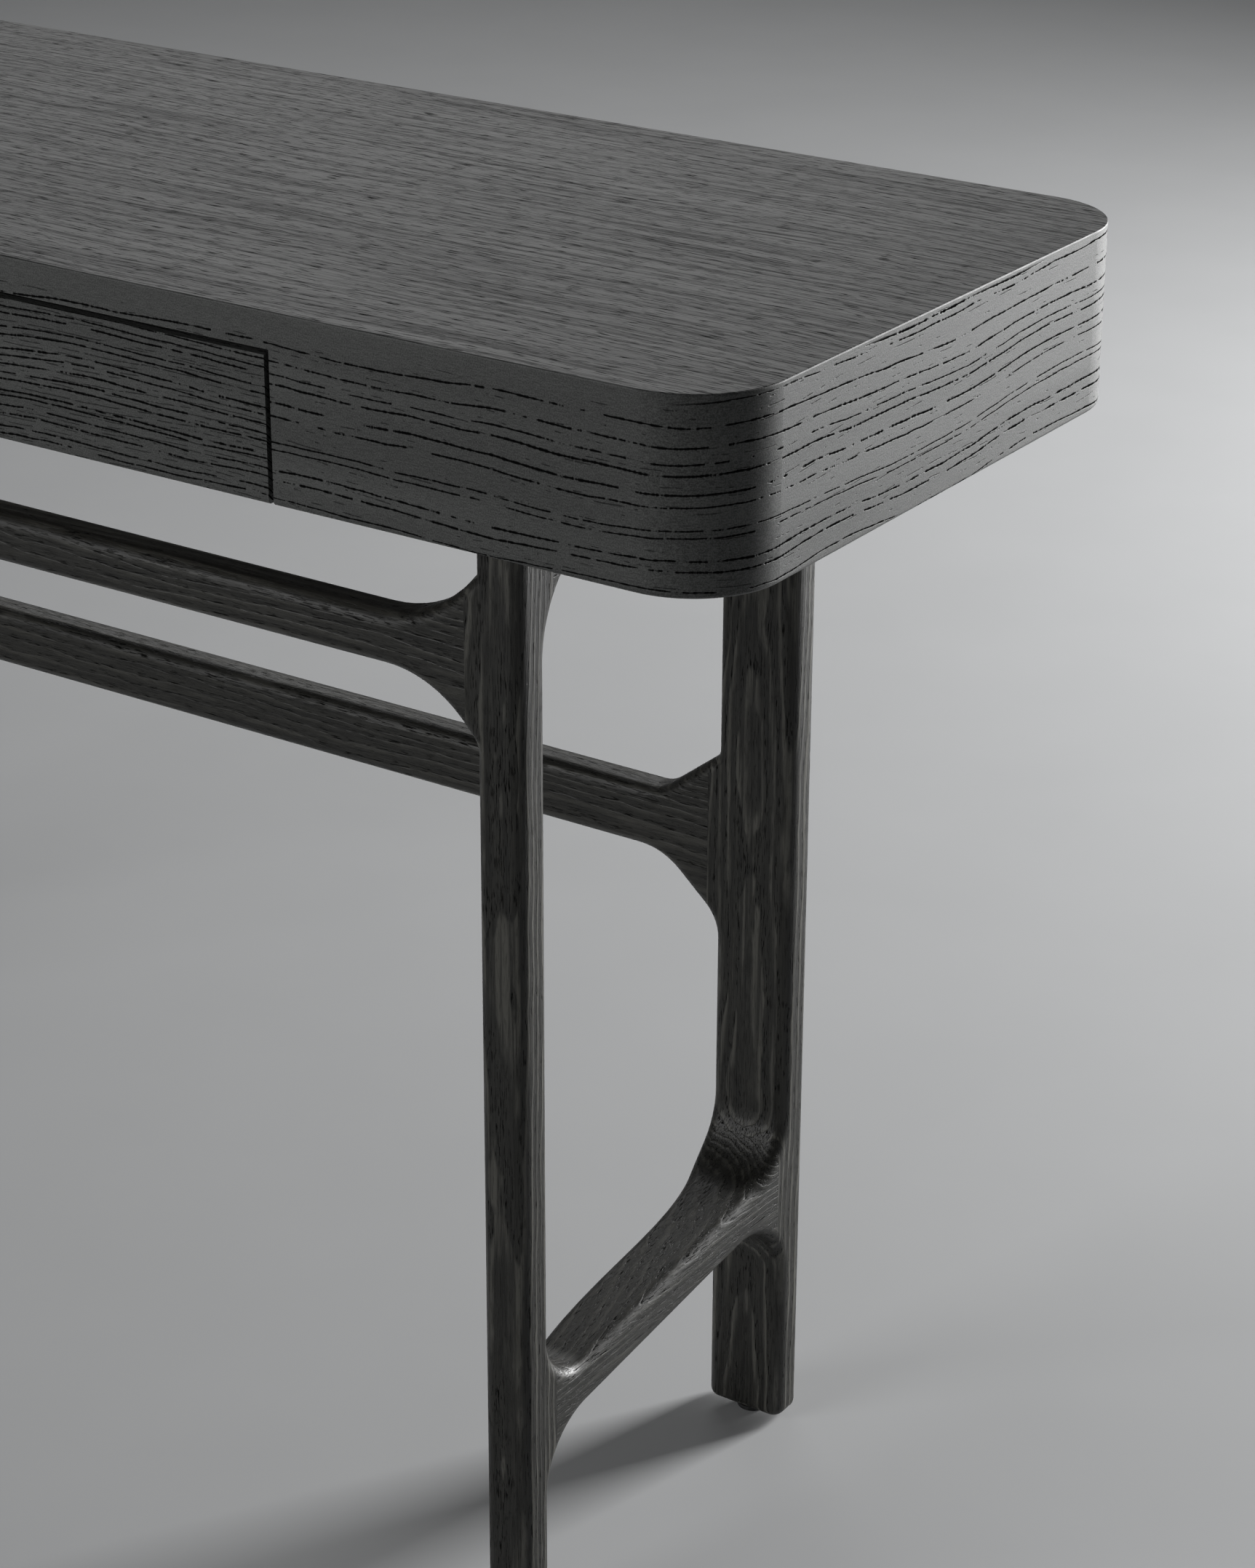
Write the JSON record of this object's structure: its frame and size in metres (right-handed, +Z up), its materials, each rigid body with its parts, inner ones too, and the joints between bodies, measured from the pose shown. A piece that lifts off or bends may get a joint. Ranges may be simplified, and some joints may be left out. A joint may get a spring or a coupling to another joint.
{
  "type": "console table",
  "caption": "Slim rounded-corner console table with push-in drawers on an open frame of slender legs and flared rails.",
  "frame": {"origin": "on the floor, under the middle of the table", "axes": "+X along the length, -Y towards the drawer fronts, +Z up"},
  "size_m": [1.4, 0.4, 0.76],
  "materials": {
    "stained_top_veneer": "open-pore veneer, charcoal stain, matt lacquer, grain along the length",
    "stained_apron_veneer": "open-pore veneer, charcoal stain, grain wrapped round the corners",
    "stained_drawer_front": "open-pore veneer, charcoal stain, wavy horizontal grain",
    "stained_frame_wood": "solid open-pore wood, charcoal stain, satin lacquer",
    "case_lining": "stained plywood, matt",
    "drawer_box_wood": "clear-lacquered oak",
    "plain_hardwood": "unfinished beech",
    "steel_fixings": "zinc-plated",
    "brass_inserts": "plain turned",
    "nylon_glides": "moulded black nylon"
  },
  "bodies": {
    "table": {"back_apron": "stained_apron_veneer", "back_leg_left": "stained_frame_wood", "back_leg_right": "stained_frame_wood", "back_rail": "stained_frame_wood", "bottom_panel": "case_lining", "cleat_left": "plain_hardwood", "cleat_right": "plain_hardwood", "divider_centre": "case_lining", "divider_left": "case_lining", "divider_right": "case_lining", "drawer_stops": "plain_hardwood", "end_apron_left": "stained_apron_veneer", "end_apron_right": "stained_apron_veneer", "foot_glides": "nylon_glides", "frame_bolts": "steel_fixings", "frame_dowels": "plain_hardwood", "front_leg_left": "stained_frame_wood", "front_leg_right": "stained_frame_wood", "front_lipping": "stained_apron_veneer", "front_rail": "stained_frame_wood", "lower_side_rail_left": "stained_frame_wood", "lower_side_rail_right": "stained_frame_wood", "runner_left_inner": "plain_hardwood", "runner_left_outer": "plain_hardwood", "runner_right_inner": "plain_hardwood", "runner_right_outer": "plain_hardwood", "runner_screws": "steel_fixings", "threaded_inserts": "brass_inserts", "top_panel": "stained_top_veneer", "upper_side_rail_left": "stained_frame_wood", "upper_side_rail_right": "stained_frame_wood"},
    "left_drawer": {"left_drawer_back": "drawer_box_wood", "left_drawer_bottom": "drawer_box_wood", "left_drawer_dowels": "plain_hardwood", "left_drawer_front": "stained_drawer_front", "left_drawer_left_side": "drawer_box_wood", "left_drawer_right_side": "drawer_box_wood"},
    "right_drawer": {"right_drawer_back": "drawer_box_wood", "right_drawer_bottom": "drawer_box_wood", "right_drawer_dowels": "plain_hardwood", "right_drawer_front": "stained_drawer_front", "right_drawer_left_side": "drawer_box_wood", "right_drawer_right_side": "drawer_box_wood"}
  },
  "joints": [
    {"name": "left_drawer_slide", "type": "slide", "parent": "table", "child": "left_drawer", "axis": [0, -1, 0], "range_m": [0, 0.25]},
    {"name": "right_drawer_slide", "type": "slide", "parent": "table", "child": "right_drawer", "axis": [0, -1, 0], "range_m": [0, 0.25]}
  ]
}
